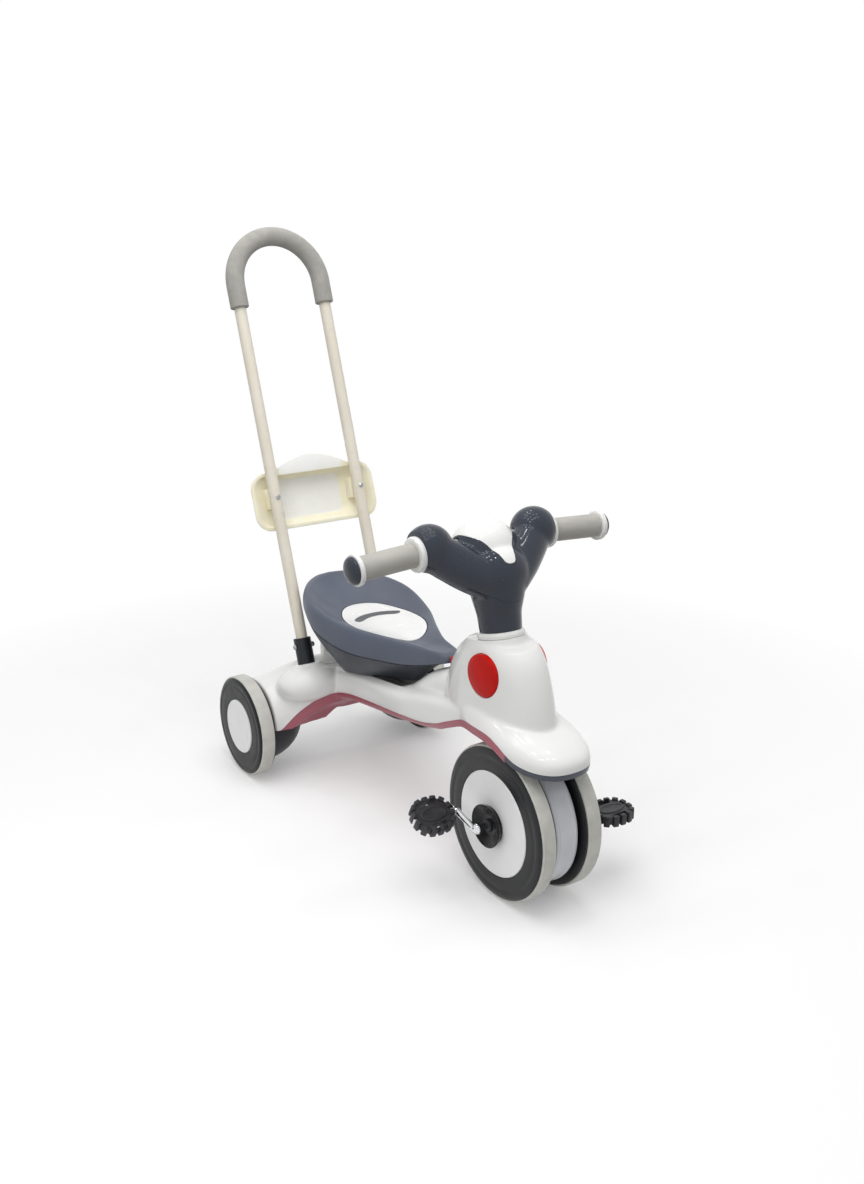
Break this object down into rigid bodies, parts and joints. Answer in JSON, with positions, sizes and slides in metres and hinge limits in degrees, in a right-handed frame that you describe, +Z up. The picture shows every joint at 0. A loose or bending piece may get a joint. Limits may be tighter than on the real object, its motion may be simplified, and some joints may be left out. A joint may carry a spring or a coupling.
{
  "type": "children's tricycle",
  "caption": "Small moulded children's tricycle with a twin front wheel, cranks and pedals, a dished seat, a backrest and a tubular push bar.",
  "frame": {"origin": "on the floor, at the middle of the tricycle's length and width", "axes": "-Y is forward, +X is the rider's left and +Z is up"},
  "size_m": [0.4246, 0.846, 0.8525],
  "materials": {
    "gloss_white": "gloss",
    "dusty_rose": "satin",
    "slate": "satin",
    "slate_gloss": "gloss",
    "dark_grey": "satin",
    "signal_red": "gloss",
    "sidewall_black": "satin",
    "tread_grey": "matte",
    "disc_white": "satin",
    "drum_grey": "satin",
    "cream_enamel": "satin",
    "cream_moulding": "translucent",
    "foam_grey": "foam",
    "grip_grey": "matte",
    "pedal_black": "matte",
    "zinc_steel": "zinc plated",
    "chrome": "bright"
  },
  "bodies": {
    "frame": {"body_shell": "gloss_white", "belly_pan": "dusty_rose", "fender_liner": "slate", "rear_cover_right": "dark_grey", "rear_cover_left": "dark_grey", "neck_ring": "gloss_white", "steering_bush": "dark_grey", "lens_right": "signal_red", "lens_left": "signal_red", "rear_axle": "zinc_steel", "seat_hinge_pin": "zinc_steel", "socket_right": "dark_grey", "socket_left": "dark_grey", "socket_bolt_right": "zinc_steel", "socket_bolt_left": "zinc_steel", "socket_nut_right": "zinc_steel", "socket_nut_left": "zinc_steel", "push_bar": "cream_enamel", "foam_grip": "foam_grey", "backrest": "cream_moulding", "backrest_screw_right": "zinc_steel", "backrest_screw_left": "zinc_steel"},
    "button": {"latch_button": "signal_red"},
    "seat": {"seat_top": "slate", "seat_pan": "slate", "seat_insert": "disc_white"},
    "steering": {"fork_housing": "drum_grey", "steering_column": "zinc_steel", "head_lower": "slate_gloss", "head_upper": "slate_gloss", "head_panel": "gloss_white", "handlebar_tube": "zinc_steel", "collar_right": "gloss_white", "collar_left": "gloss_white", "grip_right": "grip_grey", "grip_left": "grip_grey", "grip_flange_right": "gloss_white", "grip_flange_left": "gloss_white", "end_cap_right": "slate_gloss", "end_cap_left": "slate_gloss"},
    "front_wheels": {"front_axle": "zinc_steel", "front_core_right": "sidewall_black", "front_core_left": "sidewall_black", "front_tread_right": "tread_grey", "front_tread_left": "tread_grey", "front_disc_right": "disc_white", "front_disc_left": "disc_white", "hub_cone_right": "sidewall_black", "hub_cone_left": "sidewall_black", "crank_right": "chrome", "crank_left": "chrome"},
    "pedal_r": {"pedal_right": "pedal_black"},
    "pedal_l": {"pedal_left": "pedal_black"},
    "rear_wheel_r": {"rear_core_right": "sidewall_black", "rear_tread_right": "tread_grey", "rear_cap_right": "disc_white"},
    "rear_wheel_l": {"rear_core_left": "sidewall_black", "rear_tread_left": "tread_grey", "rear_cap_left": "disc_white"}
  },
  "joints": [
    {"name": "steer", "type": "hinge", "parent": "frame", "child": "steering", "pos_m": [0, -0.25199, 0.357], "axis": [0, 0.2398, 0.9708], "range_deg": [-30, 30]},
    {"name": "front_roll", "type": "hinge", "parent": "steering", "child": "front_wheels", "pos_m": [0, -0.31299, 0.11], "axis": [1, 0, 0], "continuous": true},
    {"name": "pedal_right_spin", "type": "hinge", "parent": "front_wheels", "child": "pedal_r", "pos_m": [-0.118, -0.26604, 0.11998], "axis": [1, 0, 0], "continuous": true},
    {"name": "pedal_left_spin", "type": "hinge", "parent": "front_wheels", "child": "pedal_l", "pos_m": [0.118, -0.35994, 0.10002], "axis": [1, 0, 0], "continuous": true},
    {"name": "rear_roll_right", "type": "hinge", "parent": "frame", "child": "rear_wheel_r", "pos_m": [-0.167, 0.21301, 0.082], "axis": [1, 0, 0], "continuous": true},
    {"name": "rear_roll_left", "type": "hinge", "parent": "frame", "child": "rear_wheel_l", "pos_m": [0.167, 0.21301, 0.082], "axis": [1, 0, 0], "continuous": true},
    {"name": "seat_lift", "type": "hinge", "parent": "frame", "child": "seat", "pos_m": [0, 0.23451, 0.268], "axis": [-1, 0, 0], "range_deg": [0, 28]},
    {"name": "latch_push", "type": "slide", "parent": "frame", "child": "button", "axis": [0, -1, 0], "range_m": [0, 0.004], "stiffness_N_per_m": 300}
  ]
}
